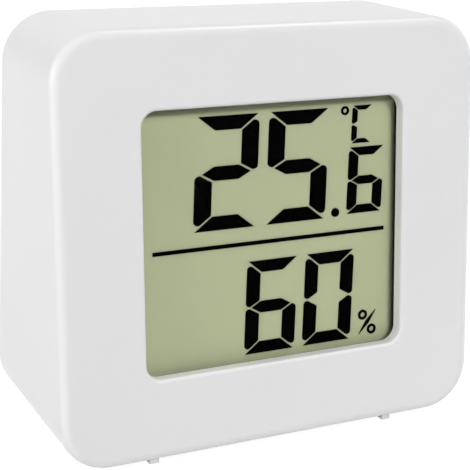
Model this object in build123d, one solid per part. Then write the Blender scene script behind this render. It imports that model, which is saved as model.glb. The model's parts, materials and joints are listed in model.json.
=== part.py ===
from build123d import *
import os
from math import atan, cos, degrees, hypot, radians, tan

# Small free-standing digital thermometer and hygrometer.
# Millimetres and degrees. X points right, Y points back and Z points up.
# The origin is the middle of the footprint, at the bottom of the feet.

# Housing
body_width = 43.0
rear_taper = 0.7
body_height = 39.0
base_depth = 21.3
top_depth = 14.34
front_lean = 4.3
corner_radius = 4.65
front_edge_radius = 0.9
back_edge_radius = 0.8
side_wall = 1.8
front_wall = 1.3
overrun = 30.0
edge_tolerance = 0.02

# Foot rails under the housing
foot_width = 0.95
foot_height = 0.6
foot_spread = 24.9
foot_setback = 1.0
foot_edge_radius = 0.12

# Window in the front wall
window_width = 26.7
window_height = 24.3
window_middle_height = 19.8
window_corner_radius = 1.5
window_edge_radius = 0.35

# Display stack, from the front wall backwards
display_width = 29.0
display_bottom_height = 4.6
display_top_height = 33.2
contact_ledge = 1.9
polariser_thickness = 0.15
polariser_inset = 0.4
glass_thickness = 0.55
cell_gap = 0.1
seal_width = 0.9
reflector_thickness = 0.2
reflector_inset = 0.3

# Display holder and rubber connector
holder_wall = 1.2
holder_ledge = 1.5
holder_clearance = 0.1
holder_corner_radius = 0.8
zebra_thickness = 1.6
zebra_length = 26.0
zebra_clearance = 0.12

# Dark marks in the display: heights are measured up the front face
digit_slant = 2.8
tall_digit_width = 6.34
tall_digit_height = 10.5
tall_digit_pitch = 7.36
tall_digit_left = -7.79
tall_digit_bottom_height = 20.38
tall_stroke_width = 1.72
tall_stroke_height = 1.3
tall_gap = 0.2
tenth_digit_width = 3.85
tenth_digit_height = 6.4
tenth_digit_left = 8.29
tenth_digit_bottom_height = 20.54
tenth_stroke_width = 1.05
tenth_stroke_height = 0.8
tenth_gap = 0.13
point_radius = 0.43
point_across = 7.08
point_height = 20.81
humidity_digit_width = 5.3
humidity_digit_height = 8.93
humidity_digit_pitch = 6.2
humidity_digit_left = -2.73
humidity_digit_bottom_height = 8.1
humidity_stroke_width = 1.4
humidity_stroke_height = 1.12
humidity_gap = 0.17
letter_width = 2.15
letter_height = 3.59
letter_left = 8.78
letter_bottom_height = 27.34
letter_stroke_width = 0.56
letter_stroke_height = 0.42
letter_gap = 0.12
stroke_rounding_share = 0.25
stroke_nose_share = 0.3
degree_radius = 0.43
degree_bore_radius = 0.21
degree_across = 8.1
degree_height = 30.51
percent_ring_radius = 0.5
percent_ring_bore_radius = 0.25
percent_left_across = 10.24
percent_left_height = 10.28
percent_right_across = 11.26
percent_right_height = 8.73
percent_bar_width = 0.4
percent_bar_length = 2.98
percent_bar_turn = 39.5
divider_length = 24.3
divider_thickness = 0.37
divider_across = 0.36
divider_height = 18.78

# Circuit board and its posts
board_thickness = 1.0
board_standoff = 1.6
board_wall_clearance = 0.4
board_bottom_height = 2.5
board_top_distance = 2.8
board_corner_radius = 1.5
post_radius = 1.6
post_side_distance = 3.55

# Screws of one pattern: shank, head and cross recess
screw_shank_radius = 0.95
screw_hole_clearance = 0.05
screw_pass_clearance = 0.15
screw_head_radius = 1.6
board_screw_head_radius = 1.35
screw_head_height = 0.9
screw_head_edge_radius = 0.3
screw_cross_width = 0.5
screw_cross_length = 2.0
screw_cross_depth = 0.5
cover_screw_length = 6.0
board_screw_length = 3.2

# Rear cover and its screw bosses
cover_thickness = 1.6
cover_clearance = 0.1
cover_edge_radius = 0.25
boss_radius = 1.9
boss_side_distance = 4.5
boss_low_height = 4.4
boss_top_distance = 4.4
boss_clearance = 0.3
counterbore_depth = 1.0
counterbore_clearance = 0.15
pilot_overshoot = 0.6

# Vent slots in the rear cover
vent_count = 9
vent_width = 1.0
vent_length = 3.4
vent_pitch = 2.2
vent_top_distance = 4.6

# Battery bay and coin cell
bay_height = 17.6
cell_radius = 10.0
cell_thickness = 3.2
cell_cap_radius = 8.8
cell_cap_height = 0.3
cell_edge_radius = 0.4
cell_clearance = 0.5
bay_wall = 1.0
bay_floor = 1.0
spring_space = 0.9

# Battery door, a disc with bayonet lugs
door_radius = 11.5
door_clearance = 0.15
door_edge_radius = 0.25
lug_count = 3
lug_reach = 1.0
lug_thickness = 0.8
lug_angle = 24.0
lug_play = 0.15
lug_groove_clearance = 0.2
lug_notch_play_angle = 4.0
door_open_angle = 40.0
coin_slot_length = 14.0
coin_slot_width = 2.0
coin_slot_depth = 0.9
door_hollow_radius = 8.0
index_width = 1.5
index_length = 1.2
index_line_width = 0.4
index_depth = 0.25
index_setback = 0.4
door_cell_gap = 0.1

# Battery contacts, cut from sheet
contact_thickness = 0.25
contact_width = 3.0
contact_slot_clearance = 0.1
positive_contact_start = 1.2
positive_contact_gap = 0.05
negative_bridge_length = 12.0
negative_bridge_crest = 4.0
negative_leg_height = -6.6

# Unit button and key switch
button_side_distance = 6.2
button_height = 10.0
button_radius = 2.1
button_clearance = 0.2
button_proud = 0.35
button_edge_radius = 0.3
button_travel = 0.4
flange_radius = 2.7
flange_thickness = 0.8
flange_play = 0.15
guide_clearance = 0.3
guide_wall = 0.6
guide_length = 2.4
stem_radius = 1.2
stem_gap = 0.05
switch_side = 6.0
switch_thickness = 3.5
plunger_radius = 1.5
plunger_length = 1.5
plunger_sunk = 0.7
plunger_clearance = 0.2

# Parts on the back of the board: heights are measured up the board
blob_radius = 3.4
blob_rise = 1.1
blob_across = 0.0
blob_height = 18.5
sensor_width = 10.0
sensor_height = 5.0
sensor_thickness = 2.6
sensor_across = -6.0
sensor_top_distance = 3.1
sensor_slot_width = 0.8
sensor_slot_pitch = 1.7
sensor_slot_count = 5
sensor_slot_inset = 0.8
sensor_slot_depth = 1.4
bead_radius = 0.9
bead_stand = 2.4
bead_across = 7.0
bead_top_distance = 2.7
bead_lead_radius = 0.22
bead_lead_spread = 1.0
crystal_radius = 1.0
crystal_length = 6.0
crystal_across = 12.0
crystal_height = 20.0
crystal_lead_width = 0.35
crystal_lead_length = 1.6
crystal_lead_spread = 0.9
chip_length = 1.6
chip_width = 0.8
chip_pitch = 2.2
chip_count = 4
capacitor_thickness = 0.8
capacitor_across = 9.0
capacitor_height = 12.5
resistor_thickness = 0.45
resistor_across = -8.0
resistor_height = 20.0

# The leaning faces, and the places that are measured from the housing's sides and top
rear_width = body_width - rear_taper
back_lean = degrees(atan((base_depth - top_depth) / body_height - tan(radians(front_lean))))
front_face_height = body_height / cos(radians(front_lean))
back_face_height = body_height / cos(radians(back_lean))
boss_across = body_width / 2 - boss_side_distance
boss_high_height = back_face_height - boss_top_distance
post_across = body_width / 2 - post_side_distance
button_across = button_side_distance - body_width / 2
board_top_height = front_face_height - board_top_distance
sensor_middle_height = board_top_height - sensor_top_distance
bead_height = board_top_height - bead_top_distance
vent_height = back_face_height - vent_top_distance

# Depths behind the front face, worked out from the stack
polariser_back = front_wall + polariser_thickness
front_glass_back = polariser_back + glass_thickness
rear_glass_front = front_glass_back + cell_gap
rear_glass_back = rear_glass_front + glass_thickness
reflector_back = rear_glass_back + reflector_thickness
board_front = reflector_back + board_standoff
board_back = board_front + board_thickness
rear_glass_bottom_height = display_bottom_height + contact_ledge

# Depths below the back face, worked out from the battery bay
lug_groove_floor = cover_thickness + lug_play + lug_thickness + lug_play
cell_outer_face = lug_groove_floor + door_cell_gap
cell_inner_face = cell_outer_face + cell_thickness
bay_floor_face = cell_inner_face + spring_space
bay_bottom_face = bay_floor_face + bay_floor
bay_radius = cell_radius + cell_clearance
opening_radius = door_radius + door_clearance
lug_radius = door_radius + lug_reach
groove_radius = lug_radius + lug_groove_clearance

# Frames of the leaning front face and of the back face, both with their origin at the foot
front_frame = Pos(0, -base_depth / 2, foot_height) * Rot(X=-front_lean)
back_frame = Pos(0, base_depth / 2, foot_height) * Rot(X=back_lean)
lean_between = radians(front_lean + back_lean)


def block(x, y, z):
    """A box from its lowest and highest value along each axis."""
    middle = Pos((x[0] + x[1]) / 2, (y[0] + y[1]) / 2, (z[0] + z[1]) / 2)
    return middle * Box(x[1] - x[0], y[1] - y[0], z[1] - z[0])


def plate(outline, y):
    """An outline drawn in X and Z, made solid from the first depth to the second."""
    return Pos(0, y[0], 0) * extrude(Plane.XZ * outline, amount=y[0] - y[1])


def rod(radius, y, across=0, height=0):
    """A round bar along Y between two depths."""
    middle = Pos(across, (y[0] + y[1]) / 2, height)
    return middle * Rot(X=90) * Cylinder(radius, y[1] - y[0])


def turned(outline, across, height):
    """A profile of radius and depth, turned about an axis along Y."""
    return Pos(across, 0, height) * revolve(Plane.XY * outline, Axis.Y)


def ring_profile(inner, outer, y):
    """A rectangle for turning, from the inner to the outer radius and between two depths."""
    middle = Pos((inner + outer) / 2, (y[0] + y[1]) / 2)
    return middle * Rectangle(outer - inner, y[1] - y[0])


def tapered_form(inset):
    """The four sides of the housing, set in by an inset and open past the front and back faces."""
    height = body_height - 2 * inset
    radius = corner_radius - inset
    front = RectangleRounded(body_width - 2 * inset, height, radius)
    rear = RectangleRounded(rear_width - 2 * inset, height, radius)
    sections = [
        Plane.XZ.offset(base_depth / 2) * front,
        Plane.XZ.offset(-base_depth / 2) * rear,
    ]
    return Pos(0, 0, foot_height + body_height / 2) * loft(sections, ruled=True)


def space_before(frame, depth):
    """All the space on the near side of a depth in a leaning frame."""
    wide = (-overrun, overrun)
    return frame * block(wide, (-overrun, depth), (-overrun, 2 * overrun))


def space_behind(frame, depth):
    """All the space on the far side of a depth in a leaning frame."""
    wide = (-overrun, overrun)
    return frame * block(wide, (depth, overrun), (-overrun, 2 * overrun))


def wedge(inset):
    """The housing's outer form between the leaning front and back faces, set in at its sides."""
    form = tapered_form(inset) - space_before(front_frame, 0)
    return form - space_behind(back_frame, 0)


def boss_places():
    """Where the four screw bosses stand, across and up the back face."""
    return [
        (side * boss_across, height)
        for side in (-1, 1)
        for height in (boss_low_height, boss_high_height)
    ]


def window_prism():
    """The display window's opening through the front wall."""
    outline = Pos(0, window_middle_height) * RectangleRounded(
        window_width, window_height, window_corner_radius
    )
    return front_frame * plate(outline, (-overrun, overrun))


def make_front_housing():
    """The deep front shell with its window, screw bosses and board posts."""
    shell = wedge(0)
    front_edges = shell.faces().sort_by(Axis.Y)[0].edges()
    shell = fillet(front_edges, front_edge_radius)
    back_edges = shell.faces().filter_by(GeomType.PLANE).sort_by(Axis.Y)[-1].edges()
    shell = fillet(back_edges, back_edge_radius)
    shell -= tapered_form(side_wall) - space_before(front_frame, front_wall)
    bosses = [
        back_frame * rod(boss_radius, (-overrun, -cover_thickness), across, height)
        for across, height in boss_places()
    ]
    core = wedge(side_wall / 2)
    for boss in bosses:
        shell += boss & core
    for side in (-1, 1):
        shell += front_frame * rod(
            post_radius,
            (front_wall / 2, board_front),
            side * post_across,
            window_middle_height,
        )
    shell -= window_prism()
    rim = shell.edges().filter_by(
        lambda edge: on_front_face(edge) and inside_window(edge)
    )
    shell = fillet(rim, window_edge_radius)
    for across, height in boss_places():
        depth = counterbore_depth - cover_screw_length - pilot_overshoot
        shell -= back_frame * rod(
            screw_shank_radius + screw_hole_clearance,
            (depth - cover_thickness, overrun),
            across,
            height,
        )
    for side in (-1, 1):
        shell -= front_frame * rod(
            screw_shank_radius + screw_hole_clearance,
            (front_wall + screw_hole_clearance, overrun),
            side * post_across,
            window_middle_height,
        )
    return shell


def make_foot_rails():
    """Two thin rails that run from front to back under the housing and carry it."""
    rails = []
    for side in (-1, 1):
        middle = side * foot_spread / 2
        rail = block(
            (middle - foot_width / 2, middle + foot_width / 2),
            (-base_depth / 2 + foot_setback, base_depth / 2 - foot_setback),
            (0, foot_height),
        )
        rails.append(fillet(rail.edges().filter_by(Axis.Z), foot_edge_radius))
    return Compound(rails)


def on_front_face(edge):
    """Whether an edge lies in the plane of the front face."""
    return abs((front_frame.inverse() * Pos(edge.center())).position.Y) < edge_tolerance


def inside_window(edge):
    """Whether an edge belongs to the window's rim and not to the housing's outer edge."""
    place = (front_frame.inverse() * Pos(edge.center())).position
    reach_across = abs(place.X) < window_width / 2 + edge_tolerance
    reach_up = abs(place.Z - window_middle_height) < window_height / 2 + edge_tolerance
    return reach_across and reach_up


def screw(length, head_radius, across, height):
    """A self-tapping screw that points into the housing, its head's underside at depth zero."""
    head = rod(head_radius, (0, screw_head_height), across, height)
    head = fillet(head.faces().sort_by(Axis.Y)[-1].edges(), screw_head_edge_radius)
    body = rod(screw_shank_radius, (-length, 0), across, height) + head
    for size in (
        (screw_cross_length / 2, screw_cross_width / 2),
        (screw_cross_width / 2, screw_cross_length / 2),
    ):
        body -= block(
            (across - size[0], across + size[0]),
            (screw_head_height - screw_cross_depth, 2 * screw_head_height),
            (height - size[1], height + size[1]),
        )
    return body


def make_cover_screws():
    """Four screws through the rear cover into the bosses."""
    seat = Pos(0, -counterbore_depth, 0)
    return Compound(
        [
            back_frame * seat * screw(cover_screw_length, screw_head_radius, across, height)
            for across, height in boss_places()
        ]
    )


def make_board_screws():
    """Two screws through the board into the posts of the housing."""
    seat = Pos(0, board_back, 0)
    return Compound(
        [
            front_frame
            * seat
            * screw(
                board_screw_length,
                board_screw_head_radius,
                side * post_across,
                window_middle_height,
            )
            for side in (-1, 1)
        ]
    )


def bay_cup():
    """The stepped cup behind the battery opening, as a profile turned about the door's axis."""
    outer = groove_radius + bay_wall
    shelf = lug_groove_floor + bay_wall
    profile = ring_profile(groove_radius, outer, (-shelf, -cover_thickness / 2))
    profile += ring_profile(bay_radius, outer, (-shelf, -lug_groove_floor))
    profile += ring_profile(bay_radius, bay_radius + bay_wall, (-bay_bottom_face, -lug_groove_floor))
    cup = turned(profile, 0, bay_height)
    return cup + rod(bay_radius + bay_wall, (-bay_bottom_face, -bay_floor_face), 0, bay_height)


def lug_sector(radius, angle, y, turn):
    """A thin sector about the door's axis, centred on a turn."""
    half = radians(angle / 2)
    reach = radius / cos(half)
    wedge_outline = Polygon(
        (0, 0),
        (reach * 2 * tan(half), reach * 2),
        (-reach * 2 * tan(half), reach * 2),
        align=None,
    )
    outline = Rot(Z=turn) * wedge_outline & Circle(radius)
    return Pos(0, 0, bay_height) * plate(outline, y)


def lug_turns():
    """Where the bayonet lugs stand around the door at rest."""
    return [360 / lug_count * index for index in range(lug_count)]


def positive_contact_height():
    """How far above the bay's axis the side contact lies, between the cell and the cup."""
    return cell_radius + positive_contact_gap


def contact_slots(clearance):
    """The places of both contact legs, a little larger by a clearance, up the back face."""
    low = bay_height + positive_contact_height() - clearance
    half = contact_width / 2 + clearance
    depths = (-overrun, -bay_floor_face + clearance)
    positive = block((-half, half), depths, (low, low + contact_thickness + 2 * clearance))
    start = bay_height + negative_leg_height - clearance
    negative = block((-half, half), depths, (start, start + contact_thickness + 2 * clearance))
    return positive, negative


def index_line(turn):
    """A short line cut into the cover, which points at the door's middle from a turn."""
    middle = groove_radius + index_setback + index_length / 2
    outline = Rot(Z=turn) * Pos(0, middle) * Rectangle(index_line_width, index_length)
    return Pos(0, 0, bay_height) * plate(outline, (-index_depth, overrun))


def index_arrow():
    """The small arrowhead cut into the door, which points at one line or the other."""
    tip = door_radius - index_setback
    outline = Polygon(
        (0, tip),
        (-index_width / 2, tip - index_length),
        (index_width / 2, tip - index_length),
        align=None,
    )
    return Pos(0, 0, bay_height) * plate(outline, (-index_depth, overrun))


def make_rear_cover():
    """The inset back plate with the battery bay, button guide, vents and screw holes."""
    cover = wedge(side_wall + cover_clearance) - space_before(back_frame, -cover_thickness)
    outer_edges = cover.faces().filter_by(GeomType.PLANE).sort_by(Axis.Y)[-1].edges()
    cover = fillet(outer_edges, cover_edge_radius)
    cover += back_frame * bay_cup()
    guide_radius = flange_radius + guide_clearance
    cover += back_frame * rod(
        guide_radius + guide_wall,
        (-cover_thickness - guide_length, -cover_thickness / 2),
        button_across,
        button_height,
    )
    cover -= back_frame * rod(
        guide_radius, (-overrun, -cover_thickness), button_across, button_height
    )
    cover -= back_frame * rod(
        button_radius + button_clearance, (-overrun, overrun), button_across, button_height
    )
    cover -= back_frame * rod(opening_radius, (-lug_groove_floor, overrun), 0, bay_height)
    notch_angle = lug_angle + lug_notch_play_angle
    for turn in lug_turns():
        cover -= back_frame * lug_sector(
            groove_radius, notch_angle, (-lug_groove_floor, overrun), turn - door_open_angle
        )
    for across, height in boss_places():
        cover -= back_frame * rod(
            screw_shank_radius + screw_pass_clearance, (-overrun, overrun), across, height
        )
        cover -= back_frame * rod(
            screw_head_radius + counterbore_clearance, (-counterbore_depth, overrun), across, height
        )
    for index in range(vent_count):
        across = (index - (vent_count - 1) / 2) * vent_pitch
        slot = Pos(across, vent_height) * SlotOverall(vent_length, vent_width, rotation=90)
        cover -= back_frame * plate(slot, (-overrun, overrun))
    for slot in contact_slots(contact_slot_clearance):
        cover -= back_frame * slot
    for turn in (0, -door_open_angle):
        cover -= back_frame * index_line(turn)
    groove = ring_profile(0, groove_radius, (-lug_groove_floor, -cover_thickness))
    cover -= back_frame * turned(groove, 0, bay_height)
    return cover


def make_battery_door():
    """The round lid with its coin slot, its lugs and the ring that holds the cell down."""
    door = rod(door_radius, (-cover_thickness, 0), 0, bay_height)
    rim = door.faces().sort_by(Axis.Y)[-1].edges()
    door = fillet(rim, door_edge_radius)
    lug_back = -cover_thickness - lug_play
    core_radius = door_radius - lug_play
    door += rod(core_radius, (lug_back - lug_thickness, -cover_thickness), 0, bay_height)
    for turn in lug_turns():
        door += lug_sector(lug_radius, lug_angle, (lug_back - lug_thickness, lug_back), turn)
    door -= rod(door_hollow_radius, (-overrun, -cover_thickness), 0, bay_height)
    door -= block(
        (-coin_slot_length / 2, coin_slot_length / 2),
        (-coin_slot_depth, overrun),
        (bay_height - coin_slot_width / 2, bay_height + coin_slot_width / 2),
    )
    return back_frame * (door - index_arrow())


def make_coin_cell():
    """A 20 mm lithium coin cell, its can towards the door and its cap towards the bay's floor."""
    can = rod(cell_radius, (-cell_inner_face + cell_cap_height, -cell_outer_face), 0, bay_height)
    can = fillet(can.faces().sort_by(Axis.Y)[-1].edges(), cell_edge_radius)
    cap_depths = (-cell_inner_face, -cell_outer_face - cell_thickness / 2)
    can += rod(cell_cap_radius, cap_depths, 0, bay_height)
    return back_frame * can


def make_positive_contact():
    """A straight strip from the side of the cell through the bay's floor to the board."""
    low = bay_height + positive_contact_height()
    strip = block(
        (-contact_width / 2, contact_width / 2),
        (-overrun, -cell_outer_face - positive_contact_start),
        (low, low + contact_thickness),
    )
    return back_frame * strip - space_before(front_frame, board_back)


def make_negative_contact():
    """A sprung bridge under the cell's cap, with a leg through the bay's floor to the board."""
    half = negative_bridge_length / 2
    crest = negative_bridge_crest / 2
    low = -bay_floor_face
    high = -cell_inner_face
    rise = Polygon(
        (-half, low),
        (half, low),
        (half, low + contact_thickness),
        (half - contact_thickness, low + contact_thickness),
        (crest, high),
        (-crest, high),
        (-half + contact_thickness, low + contact_thickness),
        (-half, low + contact_thickness),
        align=None,
    )
    under = Polygon(
        (-half + contact_thickness, low - contact_thickness),
        (half - contact_thickness, low - contact_thickness),
        (half - 2 * contact_thickness, low),
        (crest, high - contact_thickness),
        (-crest, high - contact_thickness),
        (-half + 2 * contact_thickness, low),
        align=None,
    )
    bridge = extrude(Plane.ZY * (rise - under), amount=contact_width / 2, both=True)
    bridge = Pos(0, 0, bay_height) * bridge
    leg_low = bay_height + negative_leg_height
    leg = block(
        (-contact_width / 2, contact_width / 2),
        (-overrun, low + contact_thickness),
        (leg_low, leg_low + contact_thickness),
    )
    strap = block(
        (-contact_width / 2, contact_width / 2),
        (low, low + contact_thickness),
        (leg_low, bay_height - half + contact_thickness),
    )
    return back_frame * (bridge + leg + strap) - space_before(front_frame, board_back)


def stem_reach():
    """How far the button's stem reaches below the back face, down to the switch's plunger."""
    start = (front_frame.inverse() * back_frame * Pos(0, 0, button_height)).position.Y
    plunger_top = board_back + switch_thickness + plunger_length - plunger_sunk
    return (start - plunger_top) / cos(lean_between)


def switch_place():
    """Where the stem meets the switch: across and up the board."""
    tip = front_frame.inverse() * back_frame * Pos(button_across, -stem_reach(), button_height)
    return tip.position.X, tip.position.Z


def make_unit_button():
    """The button's cap, its retaining flange and the long stem with a round tip."""
    cap = rod(button_radius, (-cover_thickness - flange_play, button_proud))
    cap = fillet(cap.faces().sort_by(Axis.Y)[-1].edges(), button_edge_radius)
    flange_front = -cover_thickness - flange_play
    cap += rod(flange_radius, (flange_front - flange_thickness, flange_front))
    tip = -stem_reach() + stem_gap + stem_radius
    cap += rod(stem_radius, (tip, flange_front))
    cap += Pos(0, tip, 0) * Sphere(stem_radius)
    return back_frame * Pos(button_across, 0, button_height) * cap


def make_switch_body():
    """The key switch's square body with the bore of its plunger."""
    across, height = switch_place()
    half = switch_side / 2
    body = block(
        (across - half, across + half),
        (board_back, board_back + switch_thickness),
        (height - half, height + half),
    )
    floor = board_back + switch_thickness - plunger_sunk - 2 * button_travel
    body -= rod(plunger_radius + plunger_clearance, (floor, overrun), across, height)
    return front_frame * body


def make_switch_plunger():
    """The key switch's round plunger."""
    across, height = switch_place()
    low = board_back + switch_thickness - plunger_sunk
    return front_frame * rod(plunger_radius, (low, low + plunger_length), across, height)


def face_plate(width, bottom, top, depths):
    """A plate parallel to the front face, between two heights and two depths."""
    return block((-width / 2, width / 2), depths, (bottom, top))


def make_lcd_front_polariser():
    """The clear film on the front of the display."""
    return front_frame * face_plate(
        display_width - 2 * polariser_inset,
        display_bottom_height + polariser_inset,
        display_top_height - polariser_inset,
        (front_wall, polariser_back),
    )


def make_lcd_front_glass():
    """The front glass, longer at the foot to carry the contacts."""
    depths = (polariser_back, front_glass_back)
    return front_frame * face_plate(
        display_width, display_bottom_height, display_top_height, depths
    )


def make_lcd_rear_glass():
    """The rear glass with its tinted ground."""
    depths = (rear_glass_front, rear_glass_back)
    return front_frame * face_plate(
        display_width, rear_glass_bottom_height, display_top_height, depths
    )


def make_lcd_edge_seal():
    """The thin frame that seals the two glasses."""
    depths = (front_glass_back, rear_glass_front)
    outer = face_plate(display_width, rear_glass_bottom_height, display_top_height, depths)
    inner = face_plate(
        display_width - 2 * seal_width,
        rear_glass_bottom_height + seal_width,
        display_top_height - seal_width,
        depths,
    )
    return front_frame * (outer - inner)


def make_lcd_reflector():
    """The reflecting foil behind the rear glass."""
    return front_frame * face_plate(
        display_width - 2 * reflector_inset,
        rear_glass_bottom_height + reflector_inset,
        display_top_height - reflector_inset,
        (rear_glass_back, reflector_back),
    )


def boss_clearances():
    """The space that the four bosses need, for pieces that reach into the corners."""
    return [
        back_frame * rod(boss_radius + boss_clearance, (-overrun, overrun), across, height)
        for across, height in boss_places()
    ]


def make_lcd_holder():
    """The frame around the display, with a ledge behind it and a slot for the connector."""
    side = display_width + 2 * holder_wall
    height = display_top_height - display_bottom_height + 2 * holder_wall
    middle = (display_top_height + display_bottom_height) / 2
    outline = Pos(0, middle) * RectangleRounded(side, height, holder_corner_radius)
    frame = plate(outline, (front_wall, board_front))
    frame -= face_plate(
        display_width + 2 * holder_clearance,
        display_bottom_height - holder_clearance,
        display_top_height + holder_clearance,
        (0, reflector_back),
    )
    frame -= face_plate(
        display_width - 2 * holder_ledge,
        rear_glass_bottom_height + holder_ledge,
        display_top_height - holder_ledge,
        (0, overrun),
    )
    low = zebra_bottom() - zebra_clearance
    frame -= face_plate(
        zebra_length + 2 * zebra_clearance,
        low,
        low + zebra_thickness + 2 * zebra_clearance,
        (0, overrun),
    )
    holder = front_frame * frame
    for space in boss_clearances():
        holder -= space
    return holder


def zebra_bottom():
    """The height of the rubber connector's lower side."""
    return display_bottom_height + (contact_ledge - zebra_thickness) / 2


def make_zebra_strip():
    """The rubber connector between the front glass and the board."""
    low = zebra_bottom()
    return front_frame * face_plate(
        zebra_length, low, low + zebra_thickness, (front_glass_back, board_front)
    )


def make_circuit_board():
    """The board, with its corners cut out around the bosses and holes at the posts."""
    width = rear_width - 2 * side_wall - 2 * board_wall_clearance
    middle = (board_top_height + board_bottom_height) / 2
    outline = Pos(0, middle) * RectangleRounded(
        width, board_top_height - board_bottom_height, board_corner_radius
    )
    board = plate(outline, (board_front, board_back))
    for side in (-1, 1):
        board -= rod(
            screw_shank_radius + screw_pass_clearance,
            (0, overrun),
            side * post_across,
            window_middle_height,
        )
    board = front_frame * board
    for space in boss_clearances():
        board -= space
    return board


def stroke_outlines(width, height, stroke_width, stroke_height, gap):
    """The seven strokes of a digit, each with its points and the corners that are rounded."""
    slope = hypot(stroke_width, stroke_height) * gap / 2
    along = slope / stroke_height
    up = slope / stroke_width
    middle = height / 2
    half = stroke_height / 2
    nose = stroke_width * stroke_nose_share
    lift = gap / 2
    nose_along = hypot(stroke_width - nose, half) * gap / 2 / half
    nose_up = hypot(stroke_width - nose, half) * gap / 2 / (stroke_width - nose)
    top = [
        (along, height),
        (width - along, height),
        (width - stroke_width - along, height - stroke_height),
        (stroke_width + along, height - stroke_height),
    ]
    bar = [
        (nose + nose_along, middle),
        (stroke_width + nose_along, middle + half),
        (width - stroke_width - nose_along, middle + half),
        (width - nose - nose_along, middle),
        (width - stroke_width - nose_along, middle - half),
        (stroke_width + nose_along, middle - half),
    ]
    upper_left = [
        (0, height - up),
        (stroke_width, height - stroke_height - up),
        (stroke_width, middle + half + nose_up),
        (nose, middle + nose_up),
        (0, middle + lift + nose_up),
    ]
    upper_right = [(width - x, z) for x, z in upper_left]
    return {
        "top": (top, ()),
        "upper_right": (upper_right, (0, 4)),
        "lower_right": ([(x, height - z) for x, z in upper_right], (0, 4)),
        "bottom": ([(x, height - z) for x, z in top], ()),
        "lower_left": ([(x, height - z) for x, z in upper_left], (0, 4)),
        "upper_left": (upper_left, (0, 4)),
        "bar": (bar, ()),
    }


ALL_STROKES = ("top", "upper_right", "lower_right", "bottom", "lower_left", "upper_left", "bar")
STROKES_LEFT_OUT = {
    "0": ("bar",),
    "2": ("upper_left", "lower_right"),
    "5": ("upper_right", "lower_left"),
    "6": ("upper_right",),
    "C": ("upper_right", "lower_right", "bar"),
}


def mark(outline):
    """One dark mark that fills the gap between the glasses."""
    return front_frame * plate(outline, (front_glass_back, rear_glass_front))


def glyph(character, place, size, stroke, gap):
    """The dark strokes of one character, leaning to the right about its foot."""
    lean = tan(radians(digit_slant))
    outlines = stroke_outlines(size[0], size[1], stroke[0], stroke[1], gap)
    marks = []
    for name in ALL_STROKES:
        if name in STROKES_LEFT_OUT[character]:
            continue
        points, rounded = outlines[name]
        placed = [(place[0] + x + z * lean, place[1] + z) for x, z in points]
        face = make_face(Polyline(*placed, close=True))
        corners = [
            corner
            for corner in face.vertices()
            if any(
                hypot(corner.X - placed[index][0], corner.Y - placed[index][1]) < gap / 4
                for index in rounded
            )
        ]
        if corners:
            face = fillet(corners, stroke[0] * stroke_rounding_share)
        marks.append(mark(face))
    return marks


def make_temperature_digits():
    """The strokes of 25.6 with its round decimal point."""
    size = (tall_digit_width, tall_digit_height)
    stroke = (tall_stroke_width, tall_stroke_height)
    marks = []
    for index, character in enumerate("25"):
        place = (tall_digit_left + index * tall_digit_pitch, tall_digit_bottom_height)
        marks += glyph(character, place, size, stroke, tall_gap)
    marks += glyph(
        "6",
        (tenth_digit_left, tenth_digit_bottom_height),
        (tenth_digit_width, tenth_digit_height),
        (tenth_stroke_width, tenth_stroke_height),
        tenth_gap,
    )
    marks.append(mark(Pos(point_across, point_height) * Circle(point_radius)))
    return Compound(marks)


def make_unit_mark():
    """The degree ring and the letter C."""
    ring = Circle(degree_radius) - Circle(degree_bore_radius)
    marks = [mark(Pos(degree_across, degree_height) * ring)]
    marks += glyph(
        "C",
        (letter_left, letter_bottom_height),
        (letter_width, letter_height),
        (letter_stroke_width, letter_stroke_height),
        letter_gap,
    )
    return Compound(marks)


def make_divider_line():
    """The bar between temperature and humidity."""
    bar = Pos(divider_across, divider_height) * Rectangle(divider_length, divider_thickness)
    return mark(bar)


def make_humidity_digits():
    """The strokes of 60 and the percent sign."""
    size = (humidity_digit_width, humidity_digit_height)
    stroke = (humidity_stroke_width, humidity_stroke_height)
    marks = []
    for index, character in enumerate("60"):
        place = (humidity_digit_left + index * humidity_digit_pitch, humidity_digit_bottom_height)
        marks += glyph(character, place, size, stroke, humidity_gap)
    ring = Circle(percent_ring_radius) - Circle(percent_ring_bore_radius)
    marks.append(mark(Pos(percent_left_across, percent_left_height) * ring))
    marks.append(mark(Pos(percent_right_across, percent_right_height) * ring))
    bar = Polygon(
        (0, -percent_bar_length / 2),
        (percent_bar_width / 2, 0),
        (0, percent_bar_length / 2),
        (-percent_bar_width / 2, 0),
        align=None,
    )
    middle_across = (percent_left_across + percent_right_across) / 2
    middle_height = (percent_left_height + percent_right_height) / 2
    marks.append(mark(Pos(middle_across, middle_height) * Rot(Z=-percent_bar_turn) * bar))
    return Compound(marks)


def on_board(shape):
    """Places a shape that is drawn with the board's back face at depth zero."""
    return front_frame * Pos(0, board_back, 0) * shape


def make_controller_blob():
    """The low dome of resin over the controller chip."""
    ball = (blob_radius**2 + blob_rise**2) / (2 * blob_rise)
    dome = Pos(blob_across, blob_rise - ball, blob_height) * Sphere(ball)
    dome &= block((-overrun, overrun), (0, overrun), (-overrun, overrun))
    return on_board(dome)


def make_humidity_sensor():
    """The sensor's small case with a row of slots that let the air in."""
    x = (sensor_across - sensor_width / 2, sensor_across + sensor_width / 2)
    z = (sensor_middle_height - sensor_height / 2, sensor_middle_height + sensor_height / 2)
    case = block(x, (0, sensor_thickness), z)
    for index in range(sensor_slot_count):
        middle = sensor_across + (index - (sensor_slot_count - 1) / 2) * sensor_slot_pitch
        case -= block(
            (middle - sensor_slot_width / 2, middle + sensor_slot_width / 2),
            (sensor_thickness - sensor_slot_depth, overrun),
            (z[0] + sensor_slot_inset, z[1] - sensor_slot_inset),
        )
    return on_board(case)


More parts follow.
